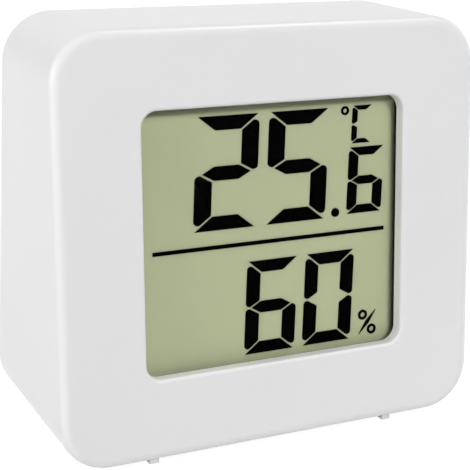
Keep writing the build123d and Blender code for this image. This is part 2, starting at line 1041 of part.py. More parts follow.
def make_thermistor():
    """The temperature bead on its two stiff leads."""
    bead = Pos(bead_across, bead_stand, bead_height) * Sphere(bead_radius)
    for side in (-1, 1):
        across = bead_across + side * bead_lead_spread / 2
        bead += rod(bead_lead_radius, (0, bead_stand), across, bead_height)
    return on_board(bead)


def make_clock_crystal():
    """The round can of the clock crystal, lying on the board, with its two leads."""
    can = Pos(crystal_across, crystal_radius, crystal_height) * Cylinder(
        crystal_radius, crystal_length
    )
    half = crystal_lead_width / 2
    low = crystal_height - crystal_length / 2 - crystal_lead_length
    for side in (-1, 1):
        across = crystal_across + side * crystal_lead_spread / 2
        x = (across - half, across + half)
        can += block(x, (crystal_radius - half, crystal_radius + half), (low, crystal_height))
        can += block(x, (0, crystal_radius), (low, low + crystal_lead_width))
    return on_board(can)


def chip_row(thickness, across, height):
    """A row of small chip parts that lie side by side on the board."""
    row = []
    for index in range(chip_count):
        middle = across + (index - (chip_count - 1) / 2) * chip_pitch
        row.append(
            on_board(
                block(
                    (middle - chip_width / 2, middle + chip_width / 2),
                    (0, thickness),
                    (height - chip_length / 2, height + chip_length / 2),
                )
            )
        )
    return Compound(row)


def make_chip_capacitors():
    """Four chip capacitors beside the controller."""
    return chip_row(capacitor_thickness, capacitor_across, capacitor_height)


def make_chip_resistors():
    """Four chip resistors above the controller."""
    return chip_row(resistor_thickness, resistor_across, resistor_height)


PIECES = {
    "front_housing": make_front_housing,
    "foot_rails": make_foot_rails,
    "rear_cover": make_rear_cover,
    "cover_screws": make_cover_screws,
    "battery_door": make_battery_door,
    "coin_cell": make_coin_cell,
    "positive_contact": make_positive_contact,
    "negative_contact": make_negative_contact,
    "unit_button": make_unit_button,
    "switch_plunger": make_switch_plunger,
    "switch_body": make_switch_body,
    "circuit_board": make_circuit_board,
    "board_screws": make_board_screws,
    "lcd_holder": make_lcd_holder,
    "lcd_front_polariser": make_lcd_front_polariser,
    "lcd_front_glass": make_lcd_front_glass,
    "lcd_edge_seal": make_lcd_edge_seal,
    "temperature_digits": make_temperature_digits,
    "unit_mark": make_unit_mark,
    "divider_line": make_divider_line,
    "humidity_digits": make_humidity_digits,
    "lcd_rear_glass": make_lcd_rear_glass,
    "lcd_reflector": make_lcd_reflector,
    "zebra_strip": make_zebra_strip,
    "controller_blob": make_controller_blob,
    "humidity_sensor": make_humidity_sensor,
    "thermistor": make_thermistor,
    "clock_crystal": make_clock_crystal,
    "chip_capacitors": make_chip_capacitors,
    "chip_resistors": make_chip_resistors,
}

os.makedirs("parts", exist_ok=True)
for node, make in PIECES.items():
    export_step(make(), f"parts/{node}.step")
door_axis = back_frame * Pos(0, 0, bay_height)
normal = (back_frame * Pos(0, 1, 0)).position - back_frame.position
print("door axis point", door_axis.position, "direction", normal)
print("back leans", back_lean)
print("button travel", button_travel, "door turns", door_open_angle)
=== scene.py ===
"""Dresses the small digital thermometer and hygrometer.

The white case, its battery door, its button and its display keep the shapes of the fixed frame.
Here they get their finishes, a few small fittings inside, a studio and the camera.
Everything is in metres, with Z up and the display looking along -Y.
"""

import json
import logging
import math
from dataclasses import dataclass
from enum import Enum

import bmesh
import bpy
from mathutils import Matrix, Vector


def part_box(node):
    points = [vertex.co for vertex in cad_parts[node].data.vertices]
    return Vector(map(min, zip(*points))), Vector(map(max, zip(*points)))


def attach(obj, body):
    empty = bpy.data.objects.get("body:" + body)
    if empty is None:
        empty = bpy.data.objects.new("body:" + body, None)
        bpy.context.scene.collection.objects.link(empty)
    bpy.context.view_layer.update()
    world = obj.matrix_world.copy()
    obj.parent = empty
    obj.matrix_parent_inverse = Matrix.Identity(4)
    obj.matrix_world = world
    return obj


LOG = logging.getLogger("meter")
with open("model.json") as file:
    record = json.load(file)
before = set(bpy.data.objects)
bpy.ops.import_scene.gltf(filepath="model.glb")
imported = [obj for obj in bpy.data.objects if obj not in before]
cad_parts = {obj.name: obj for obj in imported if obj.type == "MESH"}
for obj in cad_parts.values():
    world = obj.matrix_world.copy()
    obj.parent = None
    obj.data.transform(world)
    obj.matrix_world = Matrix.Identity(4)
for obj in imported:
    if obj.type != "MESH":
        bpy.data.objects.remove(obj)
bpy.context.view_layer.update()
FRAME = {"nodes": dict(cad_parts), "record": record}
MERGE_DISTANCE = 0.000001

Colour = tuple[float, float, float]
Point = tuple[float, float, float]
Span = tuple[float, float]
Profile = tuple[tuple[float, float], ...]

BLACK: Colour = (0.0, 0.0, 0.0)
WHOLE: Span = (0.0, 1.0)

# The ranges that most values of the noises, the clouds and the mould grain are in.
MIDDLE: Span = (0.3, 0.7)
CLOUD_BAND: Span = (0.25, 0.75)
GRAIN_BAND: Span = (0.2, 0.9)

# How many finer layers are added to a noise.
SOFT, EVEN, FINE, FINEST = 1.0, 2.0, 3.0, 4.0


class Sheen(Enum):
    """How glossy a moulded or pressed surface is, as a roughness."""

    SATIN = 0.36
    SPARKED = 0.46
    MATT = 0.62


class Graph:
    """Adds and joins the nodes of one material, world or node group."""

    # The Mix node's sockets for colours.
    FIRST_COLOUR, SECOND_COLOUR, MIXED_COLOUR = 6, 7, 2

    def __init__(self, tree: bpy.types.NodeTree) -> None:
        """Keeps the tree that the nodes go in."""
        self.tree = tree

    def add(self, kind: str, **settings: object) -> bpy.types.Node:
        """Adds a node.

        Args:
            kind: The node's type, such as ShaderNodeTexNoise.
            **settings: Properties of the node, by name.

        Returns:
            The new node.
        """
        node = self.tree.nodes.new(kind)
        for name, value in settings.items():
            setattr(node, name, value)
        return node

    def join(self, source: bpy.types.NodeSocket, target: bpy.types.NodeSocket) -> None:
        """Links an output to an input."""
        self.tree.links.new(source, target)

    def feed(self, target: bpy.types.NodeSocket, value: object) -> None:
        """Links a socket to an input, or sets the input to a plain value.

        Args:
            target: The input.
            value: A socket, a number or a colour.
        """
        if isinstance(value, bpy.types.NodeSocket):
            self.join(value, target)
        elif isinstance(value, tuple) and len(value) == 3 and target.type == "RGBA":
            target.default_value = (*value, 1.0)
        else:
            target.default_value = value

    def place(self) -> bpy.types.NodeSocket:
        """The Object coordinates, which are the frame's own metres."""
        return self.add("ShaderNodeTexCoord").outputs["Object"]

    def stretch(self, vector: bpy.types.NodeSocket, scale: Point) -> bpy.types.NodeSocket:
        """Scales a coordinate along its axes.

        Args:
            vector: The coordinate.
            scale: How much it is scaled along X, Y and Z.

        Returns:
            The scaled coordinate.
        """
        node = self.add("ShaderNodeMapping")
        self.join(vector, node.inputs["Vector"])
        node.inputs["Scale"].default_value = scale
        return node.outputs["Vector"]

    def noise(
        self, vector: bpy.types.NodeSocket, scale: object, detail: float = EVEN
    ) -> bpy.types.NodeSocket:
        """A noise from 0 to 1.

        Args:
            vector: The coordinate to read.
            scale: Waves in a metre, as a number or a socket.
            detail: How many finer layers are added.

        Returns:
            The noise's value.
        """
        node = self.add("ShaderNodeTexNoise")
        self.join(vector, node.inputs["Vector"])
        self.feed(node.inputs["Scale"], scale)
        node.inputs["Detail"].default_value = detail
        return node.outputs["Fac"]

    def span(
        self, value: bpy.types.NodeSocket, source: Span, target: Span
    ) -> bpy.types.NodeSocket:
        """Maps a value from one range to another, and holds it there.

        Args:
            value: The value to map.
            source: The range that it comes from.
            target: The range that it goes to.

        Returns:
            The mapped value.
        """
        node = self.add("ShaderNodeMapRange", clamp=True)
        self.join(value, node.inputs["Value"])
        for name, number in zip(("From Min", "From Max", "To Min", "To Max"), (*source, *target)):
            node.inputs[name].default_value = number
        return node.outputs["Result"]

    def maths(self, operation: str, first: object, second: object = 0.0) -> bpy.types.NodeSocket:
        """One step of arithmetic on two values.

        Args:
            operation: The Math node's operation.
            first: The first value, as a number or a socket.
            second: The second value, where the operation has one.

        Returns:
            The result.
        """
        node = self.add("ShaderNodeMath", operation=operation)
        self.feed(node.inputs[0], first)
        self.feed(node.inputs[1], second)
        return node.outputs["Value"]

    def blend(self, share: object, first: object, second: object) -> bpy.types.NodeSocket:
        """Mixes two colours.

        Args:
            share: How much of the second colour is taken.
            first: The first colour, as a colour or a socket.
            second: The second colour.

        Returns:
            The mixed colour.
        """
        node = self.add("ShaderNodeMix", data_type="RGBA")
        self.feed(node.inputs["Factor"], share)
        self.feed(node.inputs[self.FIRST_COLOUR], first)
        self.feed(node.inputs[self.SECOND_COLOUR], second)
        return node.outputs[self.MIXED_COLOUR]

    def parts(self, vector: bpy.types.NodeSocket) -> bpy.types.NodeOutputs:
        """Takes a coordinate apart.

        Args:
            vector: The coordinate.

        Returns:
            Its X, Y and Z.
        """
        node = self.add("ShaderNodeSeparateXYZ")
        self.join(vector, node.inputs["Vector"])
        return node.outputs

    def relief(
        self, height: bpy.types.NodeSocket, strength: float, depth: float
    ) -> bpy.types.NodeSocket:
        """A normal raised by a height.

        Args:
            height: The pattern, from 0 to 1.
            strength: How much of the relief is used.
            depth: The height of a full step, in metres.

        Returns:
            The normal.
        """
        node = self.add("ShaderNodeBump")
        self.join(height, node.inputs["Height"])
        node.inputs["Strength"].default_value = strength
        node.inputs["Distance"].default_value = depth
        return node.outputs["Normal"]


class Effects:
    """The patterns that several finishes share, each built once as a node group."""

    def __init__(self) -> None:
        """Builds the groups."""
        self.mould_grain = self._mould_grain()
        self.brushed = self._brushed()
        self.handling = self._handling()

    @staticmethod
    def _start(
        name: str, inputs: dict[str, float], outputs: dict[str, str]
    ) -> tuple[bpy.types.NodeTree, Graph, bpy.types.NodeOutputs, bpy.types.NodeInputs]:
        """Starts a group with its sockets.

        Args:
            name: The group's name.
            inputs: Each input's name and its starting value.
            outputs: Each output's name and its socket type.

        Returns:
            The group, its graph, its inputs and its outputs.
        """
        group = bpy.data.node_groups.new(name, "ShaderNodeTree")
        for label, value in inputs.items():
            socket = group.interface.new_socket(
                label, in_out="INPUT", socket_type="NodeSocketFloat"
            )
            socket.default_value = value
        for label, kind in outputs.items():
            group.interface.new_socket(label, in_out="OUTPUT", socket_type=kind)
        graph = Graph(group)
        entry = graph.add("NodeGroupInput").outputs
        leave = graph.add("NodeGroupOutput").inputs
        return group, graph, entry, leave

    def _mould_grain(self) -> bpy.types.NodeTree:
        """The fine spark-eroded grain of moulded plastic, with the slow clouds of its flow.

        Returns:
            The group, which puts out Grain and Cloud.
        """
        pit_share = 0.35
        group, graph, entry, leave = self._start(
            "mould_grain",
            {"Grain Scale": 2600.0, "Cloud Scale": 70.0},
            {"Grain": "NodeSocketFloat", "Cloud": "NodeSocketFloat"},
        )
        place = graph.place()
        fine = graph.noise(place, entry["Grain Scale"], FINE)
        pits = graph.add("ShaderNodeTexVoronoi", feature="F1")
        graph.join(place, pits.inputs["Vector"])
        graph.join(entry["Grain Scale"], pits.inputs["Scale"])
        grain = graph.maths("MULTIPLY_ADD", pits.outputs["Distance"], pit_share)
        graph.join(fine, grain.node.inputs[2])
        graph.join(grain, leave["Grain"])
        graph.join(graph.noise(place, entry["Cloud Scale"]), leave["Cloud"])
        return group

    def _brushed(self) -> bpy.types.NodeTree:
        """Fine parallel scratches along X, for rolled sheet and drawn cans.

        Returns:
            The group, which puts out Scratch and Blotch.
        """
        drawn_out = (0.05, 1.0, 1.0)
        group, graph, entry, leave = self._start(
            "brushed_metal",
            {"Scratch Scale": 9000.0, "Blotch Scale": 300.0},
            {"Scratch": "NodeSocketFloat", "Blotch": "NodeSocketFloat"},
        )
        place = graph.place()
        lines = graph.stretch(place, drawn_out)
        graph.join(graph.noise(lines, entry["Scratch Scale"], FINE), leave["Scratch"])
        graph.join(graph.noise(place, entry["Blotch Scale"]), leave["Blotch"])
        return group

    def _handling(self) -> bpy.types.NodeTree:
        """Where hands have polished a surface: a soft mask of broad, faint smears.

        Returns:
            The group, which puts out Smear.
        """
        upright = (1.0, 1.0, 0.55)
        smeared = (0.52, 0.78)
        group, graph, entry, leave = self._start(
            "handling_smears", {"Smear Scale": 160.0}, {"Smear": "NodeSocketFloat"}
        )
        place = graph.stretch(graph.place(), upright)
        broad = graph.noise(place, entry["Smear Scale"], FINEST)
        graph.join(graph.span(broad, smeared, WHOLE), leave["Smear"])
        return group


@dataclass(frozen=True)
class Finish:
    """What every finish has: the slot's name and its main colour, as linear light."""

    slot: str
    colour: Colour

    def start(self) -> tuple[bpy.types.Material, Graph, bpy.types.NodeInputs]:
        """Starts the material.

        Returns:
            The material, its graph and the inputs of its Principled shader.
        """
        material = bpy.data.materials.new(self.slot + "_finish")
        material.use_nodes = True
        graph = Graph(material.node_tree)
        graph.tree.nodes.clear()
        shader = graph.add("ShaderNodeBsdfPrincipled")
        leave = graph.add("ShaderNodeOutputMaterial")
        graph.join(shader.outputs["BSDF"], leave.inputs["Surface"])
        material.diffuse_color = (*self.colour, 1.0)
        return material, graph, shader.inputs

    def tinted(self, share: float) -> Colour:
        """The main colour, darker by a share."""
        return tuple(channel * (1.0 - share) for channel in self.colour)


@dataclass(frozen=True)
class MouldedPlastic(Finish):
    """Injection-moulded plastic with a fine grain, slow clouds and faint smears.

    Args:
        sheen: How glossy it is.
        grain_scale: Waves of the grain in a metre.
        grain_strength: How much of the grain's relief is used.
        grain_depth: The height of the grain, in metres.
        drift: How much darker the clouds are.
        rough_swing: How far the clouds change the roughness down and up.
        polish: How much smoother it is where it has been handled.
        gloss_level: The specular level.
    """

    sheen: Sheen = Sheen.SATIN
    grain_scale: float = 2600.0
    grain_strength: float = 0.35
    grain_depth: float = 0.00001
    drift: float = 0.02
    rough_swing: Span = (-0.03, 0.04)
    polish: float = 0.06
    gloss_level: float = 0.45

    def build(self, effects: Effects) -> bpy.types.Material:
        """Makes the material.

        Args:
            effects: The shared patterns.

        Returns:
            The new material.
        """
        material, graph, sockets = self.start()
        grain = graph.add("ShaderNodeGroup", node_tree=effects.mould_grain)
        grain.inputs["Grain Scale"].default_value = self.grain_scale
        smear = graph.add("ShaderNodeGroup", node_tree=effects.handling)
        shade = graph.span(grain.outputs["Cloud"], MIDDLE, WHOLE)
        colour = graph.blend(shade, self.tinted(self.drift), self.colour)
        graph.join(colour, sockets["Base Color"])
        smoother, rougher = (self.sheen.value + swing for swing in self.rough_swing)
        clouded = graph.span(grain.outputs["Cloud"], CLOUD_BAND, (smoother, rougher))
        polish = graph.maths("MULTIPLY", smear.outputs["Smear"], self.polish)
        graph.join(graph.maths("SUBTRACT", clouded, polish), sockets["Roughness"])
        normal = graph.relief(grain.outputs["Grain"], self.grain_strength, self.grain_depth)
        graph.join(normal, sockets["Normal"])
        sockets["Specular IOR Level"].default_value = self.gloss_level
        return material


@dataclass(frozen=True)
class PlatedMetal(Finish):
    """Rolled, drawn or turned metal with fine scratches and faint blotches.

    Args:
        roughness: The roughness that the scratches change.
        rough_swing: How far they change it down and up.
        scratch_scale: Waves of the scratches in a metre.
        scratch_strength: How much of their relief is used.
        scratch_depth: Their depth, in metres.
        blotch_shade: How much darker the blotches are.
    """

    roughness: float = 0.3
    rough_swing: Span = (-0.08, 0.12)
    scratch_scale: float = 9000.0
    scratch_strength: float = 0.3
    scratch_depth: float = 0.000006
    blotch_shade: float = 0.14

    def build(self, effects: Effects) -> bpy.types.Material:
        """Makes the material.

        Args:
            effects: The shared patterns.

        Returns:
            The new material.
        """
        material, graph, sockets = self.start()
        marks = graph.add("ShaderNodeGroup", node_tree=effects.brushed)
        marks.inputs["Scratch Scale"].default_value = self.scratch_scale
        colour = graph.blend(marks.outputs["Blotch"], self.tinted(self.blotch_shade), self.colour)
        graph.join(colour, sockets["Base Color"])
        smoother, rougher = (self.roughness + swing for swing in self.rough_swing)
        rough = graph.span(marks.outputs["Scratch"], MIDDLE, (smoother, rougher))
        graph.join(rough, sockets["Roughness"])
        normal = graph.relief(marks.outputs["Scratch"], self.scratch_strength, self.scratch_depth)
        graph.join(normal, sockets["Normal"])
        sockets["Metallic"].default_value = 1.0
        return material


@dataclass(frozen=True)
class ClearLayer(Finish):
    """A clear film or pane of the display, which only tints what lies behind it.

    Args:
        cover: How much it hides.
        roughness: Its roughness where it is clean.
        smear_cover: How many times as much it hides where it has been wiped.
        smear_haze: How much rougher it is there.
        smear_shade: How much darker it is there.
        gloss_level: The specular level.
    """

    cover: float = 0.03
    roughness: float = 0.25
    smear_cover: float = 1.3
    smear_haze: float = 0.1
    smear_shade: float = 0.1
    gloss_level: float = 0.3

    def build(self, effects: Effects) -> bpy.types.Material:
        """Makes the material, with a faint haze where it has been wiped.

        Args:
            effects: The shared patterns.

        Returns:
            The new material.
        """
        material, graph, sockets = self.start()
        material.surface_render_method = "BLENDED"
        smear = graph.add("ShaderNodeGroup", node_tree=effects.handling)
        wiped = smear.outputs["Smear"]
        veil = graph.span(wiped, WHOLE, (self.cover, self.cover * self.smear_cover))
        graph.join(veil, sockets["Alpha"])
        haze = graph.span(wiped, WHOLE, (self.roughness, self.roughness + self.smear_haze))
        graph.join(haze, sockets["Roughness"])
        cast = graph.blend(wiped, self.colour, self.tinted(self.smear_shade))
        graph.join(cast, sockets["Base Color"])
        sockets["Specular IOR Level"].default_value = self.gloss_level
        return material


@dataclass(frozen=True)
class DisplayGround(Finish):
    """The olive ground of the display: a reflecting film with a fine brushed grain, and a painted
    shadow under the window's right and upper lips.

    Args:
        grain_scale: Waves of the grain in a metre.
        grain_stretch: How much the brushed lines are drawn out along X.
        grain_shade: How much darker the grain's flecks are.
        grain_strength: How much of the grain's relief is used.
        grain_depth: The height of the grain, in metres.
        fleck_band: The part of the pattern that the flecks' shade takes up.
        rough_band: The part that the roughness takes up.
        roughness: The least and the greatest roughness.
        warm_scale: Waves of the slow warmer clouds in a metre.
        warm_tint: What the clouds do to the red, green and blue.
        right_fade: Where along X the ground is painted darker, as a painted shadow under the
            window's right lip.
        top_fade: Where along Z it is painted darker, as a painted shadow under the upper lip.
        right_shade: How dark the painted shadow gets under the right lip.
        top_shade: How dark the painted shadow gets under the upper lip.
        gloss_level: The specular level.
    """

    grain_scale: float = 5200.0
    grain_stretch: Point = (0.08, 1.0, 1.0)
    grain_shade: float = 0.035
    grain_strength: float = 0.12
    grain_depth: float = 0.000004
    fleck_band: Span = (0.7, 1.3)
    rough_band: Span = (0.6, 1.4)
    roughness: Span = (0.5, 0.62)
    warm_scale: float = 45.0
    warm_tint: Colour = (1.015, 1.0, 0.965)
    right_fade: Span = (0.01320, 0.01360)
    top_fade: Span = (0.03140, 0.03165)
    right_shade: float = 0.58
    top_shade: float = 0.45
    gloss_level: float = 0.12

    def build(self, effects: Effects) -> bpy.types.Material:
        """Makes the material.

        Args:
            effects: The shared patterns, of which this finish uses none.

        Returns:
            The new material.
        """
        material, graph, sockets = self.start()
        place = graph.place()
        flecks = graph.noise(place, self.grain_scale)
        lines = graph.noise(graph.stretch(place, self.grain_stretch), self.grain_scale, SOFT)
        pattern = graph.maths("ADD", flecks, lines)
        slow = graph.noise(place, self.warm_scale, SOFT)
        fleck = graph.span(pattern, self.fleck_band, WHOLE)
        colour = graph.blend(fleck, self.tinted(self.grain_shade), self.colour)
        warm = tuple(channel * tint for channel, tint in zip(self.colour, self.warm_tint))
        colour = graph.blend(slow, colour, warm)
        # Painted shadow: the ground is painted darker towards the window's right and upper lips,
        # where the lips shade it.
        across = graph.parts(place)
        right = graph.span(across["X"], self.right_fade, (0.0, self.right_shade))
        top = graph.span(across["Z"], self.top_fade, (0.0, self.top_shade))
        painted_lip_shadow = graph.maths("MAXIMUM", right, top)
        graph.join(graph.blend(painted_lip_shadow, colour, BLACK), sockets["Base Color"])
        rough = graph.span(pattern, self.rough_band, self.roughness)
        graph.join(rough, sockets["Roughness"])
        relief = graph.relief(pattern, self.grain_strength, self.grain_depth)
        graph.join(relief, sockets["Normal"])
        sockets["Specular IOR Level"].default_value = self.gloss_level
        return material


@dataclass(frozen=True)
class LiquidCrystal(Finish):
    """The dark marks of the display, almost without gloss under their glass.

    Args:
        cloud_scale: Waves of the unevenness in a metre.
        cloud_lift: How much lighter it makes the dark.
        roughness: The least and the greatest roughness.
    """

    cloud_scale: float = 900.0
    cloud_lift: float = 0.0004
    roughness: Span = (0.55, 0.7)

    def build(self, effects: Effects) -> bpy.types.Material:
        """Makes the material, with a trace of unevenness in the dark.

        Args:
            effects: The shared patterns, of which this finish uses none.

        Returns:
            The new material.
        """
        material, graph, sockets = self.start()
        slow = graph.noise(graph.place(), self.cloud_scale)
        lighter = tuple(channel + self.cloud_lift for channel in self.colour)
        graph.join(graph.blend(slow, self.colour, lighter), sockets["Base Color"])
        graph.join(graph.span(slow, MIDDLE, self.roughness), sockets["Roughness"])
        sockets["Specular IOR Level"].default_value = 0.0
        return material


@dataclass(frozen=True)
class LayeredRubber(Finish):
    """The display's connector: rubber in thin dark and pale layers across its length.

    Args:
        layer_scale: About how many layers, dark and pale, a metre holds.
        layer_edge: The part of the wave where one layer turns into the next.
        dark_shade: How much darker the dark layers are.
        roughness: The least and the greatest roughness.
    """

    layer_scale: float = 10000.0
    layer_edge: Span = (0.45, 0.55)
    dark_shade: float = 0.9
    roughness: Span = (0.6, 0.75)

    def build(self, effects: Effects) -> bpy.types.Material:
        """Makes the material.

        Args:
            effects: The shared patterns.

        Returns:
            The new material.
        """
        material, graph, sockets = self.start()
        bands = graph.add("ShaderNodeTexWave", wave_type="BANDS", bands_direction="X")
        graph.join(graph.place(), bands.inputs["Vector"])
        bands.inputs["Scale"].default_value = self.layer_scale / math.tau
        bands.inputs["Distortion"].default_value = 0.0
        step = graph.span(bands.outputs["Fac"], self.layer_edge, WHOLE)
        dark = self.tinted(self.dark_shade)
        graph.join(graph.blend(step, dark, self.colour), sockets["Base Color"])
        grain = graph.add("ShaderNodeGroup", node_tree=effects.mould_grain)
        rough = graph.span(grain.outputs["Grain"], GRAIN_BAND, self.roughness)
        graph.join(rough, sockets["Roughness"])
        return material


@dataclass(frozen=True)
class SolderMask(Finish):
    """The board: green mask over fine copper tracks, with a weave that just shows.

    Args:
        track_scale: The scale of the tracks' pattern, in a metre.
        track_width: How wide the tracks are in it.
        copper_tint: The mask's colour over a track.
        weave_scale: Waves of the weave in a metre.
        weave_shade: How much darker the weave is.
        weave_share: How high the weave stands, as a share of a track.
        relief_strength: How much of the relief is used.
        relief_depth: The height of a track, in metres.
        roughness: The least and the greatest roughness.
    """

    track_scale: float = 520.0
    track_width: float = 0.035
    copper_tint: Colour = (0.10, 0.36, 0.16)
    weave_scale: float = 4200.0
    weave_shade: float = 0.12
    weave_share: float = 0.3
    relief_strength: float = 0.5
    relief_depth: float = 0.00002
    roughness: Span = (0.22, 0.34)

    def build(self, effects: Effects) -> bpy.types.Material:
        """Makes the material.

        Args:
            effects: The shared patterns, of which this finish uses none.

        Returns:
            The new material.
        """
        material, graph, sockets = self.start()
        place = graph.place()
        tracks = graph.add("ShaderNodeTexBrick", offset=0.5, squash=1.0)
        across = graph.parts(place)
        flat = graph.add("ShaderNodeCombineXYZ")
        graph.join(across["X"], flat.inputs["X"])
        graph.join(across["Z"], flat.inputs["Y"])
        graph.join(flat.outputs["Vector"], tracks.inputs["Vector"])
        tracks.inputs["Scale"].default_value = self.track_scale
        tracks.inputs["Mortar Size"].default_value = self.track_width
        weave = graph.noise(place, self.weave_scale)
        mask = graph.blend(weave, self.tinted(self.weave_shade), self.colour)
        colour = graph.blend(tracks.outputs["Fac"], mask, self.copper_tint)
        graph.join(colour, sockets["Base Color"])
        graph.join(graph.span(weave, MIDDLE, self.roughness), sockets["Roughness"])
        threads = graph.maths("MULTIPLY", weave, self.weave_share)
        height = graph.maths("ADD", tracks.outputs["Fac"], threads)
        relief = graph.relief(height, self.relief_strength, self.relief_depth)
        graph.join(relief, sockets["Normal"])
        return material


@dataclass(frozen=True)
class PouredResin(Finish):
    """Dark or coloured resin that has been poured or dipped, glossy and slightly wavy.

    Args:
        wave_scale: Waves in a metre.
        wave_shade: How much darker the waves' feet are.
        wave_strength: How much of the waves' relief is used.
        wave_depth: Their height, in metres.
        roughness: The least and the greatest roughness.
    """

    wave_scale: float = 500.0
    wave_shade: float = 0.25
    wave_strength: float = 0.4
    wave_depth: float = 0.00003
    roughness: Span = (0.14, 0.26)

    def build(self, effects: Effects) -> bpy.types.Material:
        """Makes the material.

        Args:
            effects: The shared patterns, of which this finish uses none.

        Returns:
            The new material.
        """
        material, graph, sockets = self.start()
        waves = graph.noise(graph.place(), self.wave_scale, FINE)
        dark = self.tinted(self.wave_shade)
        graph.join(graph.blend(waves, dark, self.colour), sockets["Base Color"])
        graph.join(graph.span(waves, MIDDLE, self.roughness), sockets["Roughness"])
        relief = graph.relief(waves, self.wave_strength, self.wave_depth)
        graph.join(relief, sockets["Normal"])
        return material


@dataclass(frozen=True)
class FiredChip(Finish):
    """A row of small ceramic chip parts with a tinned cap at their upper and lower ends.

    Args:
        node: The row's node, whose box gives the places of the caps.
        cap_length: The length of a cap, in metres.
        tin: The caps' colour.
        grain_shade: How much darker the ceramic's grain is.
        roughness: The least and the greatest roughness.
    """

    node: str = ""
    cap_length: float = 0.0003
    tin: Colour = (0.62, 0.62, 0.6)
    grain_shade: float = 0.15
    roughness: Span = (0.3, 0.5)

    def build(self, effects: Effects) -> bpy.types.Material:
        """Makes the material, with its caps measured from the ends of the row's box.

        Args:
            effects: The shared patterns.

        Returns:
            The new material.
        """
        material, graph, sockets = self.start()
        low, high = (corner[2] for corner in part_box(self.node))
        height = graph.parts(graph.place())["Z"]
        off = graph.maths("ABSOLUTE", graph.maths("SUBTRACT", height, (low + high) / 2))
        cap = graph.maths("GREATER_THAN", off, (high - low) / 2 - self.cap_length)
        grain = graph.add("ShaderNodeGroup", node_tree=effects.mould_grain)
        body = graph.blend(grain.outputs["Grain"], self.tinted(self.grain_shade), self.colour)
        graph.join(graph.blend(cap, body, self.tin), sockets["Base Color"])
        graph.join(cap, sockets["Metallic"])
        rough = graph.span(grain.outputs["Grain"], GRAIN_BAND, self.roughness)
        graph.join(rough, sockets["Roughness"])
        return material


FINISHES = (
    MouldedPlastic("housing_white", (0.80, 0.80, 0.81)),
    MouldedPlastic("cover_white", (0.78, 0.78, 0.79), sheen=Sheen.SPARKED),
    MouldedPlastic("door_white", (0.79, 0.79, 0.80)),
    MouldedPlastic("button_white", (0.76, 0.76, 0.77), sheen=Sheen.SPARKED),
    MouldedPlastic("inner_plastic", (0.70, 0.70, 0.67), sheen=Sheen.MATT),
    MouldedPlastic("switch_black", (0.018, 0.018, 0.018), sheen=Sheen.MATT, drift=0.2),
    MouldedPlastic("sensor_case", (0.72, 0.72, 0.70), sheen=Sheen.MATT),
    # The edge seal is a real part of the display, and its near black is partly painted shade: it
    # makes the dark line where the window's right lip shades the display.
    MouldedPlastic("edge_seal", (0.032, 0.032, 0.032), sheen=Sheen.MATT, drift=0.2),
    PlatedMetal("screw_steel", (0.55, 0.55, 0.56), roughness=0.28),
    PlatedMetal("contact_steel", (0.66, 0.64, 0.58), roughness=0.25),
    PlatedMetal("cell_steel", (0.68, 0.68, 0.68), roughness=0.3, scratch_scale=6000.0),
    PlatedMetal("crystal_can", (0.64, 0.64, 0.62), roughness=0.22),
    PlatedMetal("display_foil", (0.62, 0.63, 0.58), roughness=0.4),
    ClearLayer("display_film", (0.03, 0.032, 0.026), cover=0.012, roughness=0.3),
    ClearLayer("display_glass", (0.02, 0.026, 0.022), cover=0.008, roughness=0.1),
    DisplayGround("display_ground", (0.54, 0.58, 0.365)),
    LiquidCrystal("display_mark", (0.0004, 0.0004, 0.0005)),
    LayeredRubber("zebra_rubber", (0.35, 0.37, 0.40)),
    SolderMask("board_green", (0.03, 0.17, 0.07)),
    PouredResin("resin_black", (0.012, 0.012, 0.013)),
    PouredResin("bead_resin", (0.22, 0.05, 0.02)),
    FiredChip("capacitor_body", (0.30, 0.19, 0.11), node="chip_capacitors"),
    FiredChip("resistor_body", (0.03, 0.03, 0.032), node="chip_resistors"),
)


class Wardrobe:
    """Every finish, ready to put on the frame's nodes and on new pieces."""

    def __init__(self) -> None:
        """Builds each finish once."""
        effects = Effects()
        self.materials = {finish.slot: finish.build(effects) for finish in FINISHES}
        self.slots = {
            part["node"]: part["material_slot"] for part in FRAME["record"]["subparts"]
        }

    def dress(self, node: str) -> None:
        """Gives a node of the frame the finish of its slot.

        Args:
            node: The node's name.
        """
        piece = FRAME["nodes"][node]
        finish = self.materials[self.slots[node]]
        for slot in piece.material_slots:
            slot.material = finish
        LOG.info("dressed %s in %s", node, finish.name)

    def cover(self, piece: bpy.types.Object, slot: str, body: str) -> None:
        """Gives a new piece its finish and lets it ride on a body.

        Args:
            piece: The new piece.
            slot: The record's slot that it takes its finish from.
            body: The body's name.
        """
        piece.data.materials.append(self.materials[slot])
        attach(piece, body)
        LOG.info("made %s, which rides on %s", piece.name, body)


def add_to(whole: bmesh.types.BMesh, part: bmesh.types.BMesh) -> None:
    """Adds one bmesh to another and frees it.

    Args:
        whole: The bmesh that grows.
        part: The bmesh that is added.
    """
    data = bpy.data.meshes.new("part")
    part.to_mesh(data)
    part.free()
    whole.from_mesh(data)
    bpy.data.meshes.remove(data)


def finished_piece(name: str, mesh: bmesh.types.BMesh, smooth: bool = True) -> bpy.types.Object:
    """Turns a bmesh into an object at the origin.

    Args:
        name: The piece's name.
        mesh: The bmesh, with its place in its vertices.
        smooth: Whether its faces are shaded smoothly.

    Returns:
        The new object.
    """
    bmesh.ops.recalc_face_normals(mesh, faces=mesh.faces)
    data = bpy.data.meshes.new(name)
    mesh.to_mesh(data)
    mesh.free()
    for face in data.polygons:
        face.use_smooth = smooth
    piece = bpy.data.objects.new(name, data)
    bpy.context.scene.collection.objects.link(piece)
    return piece


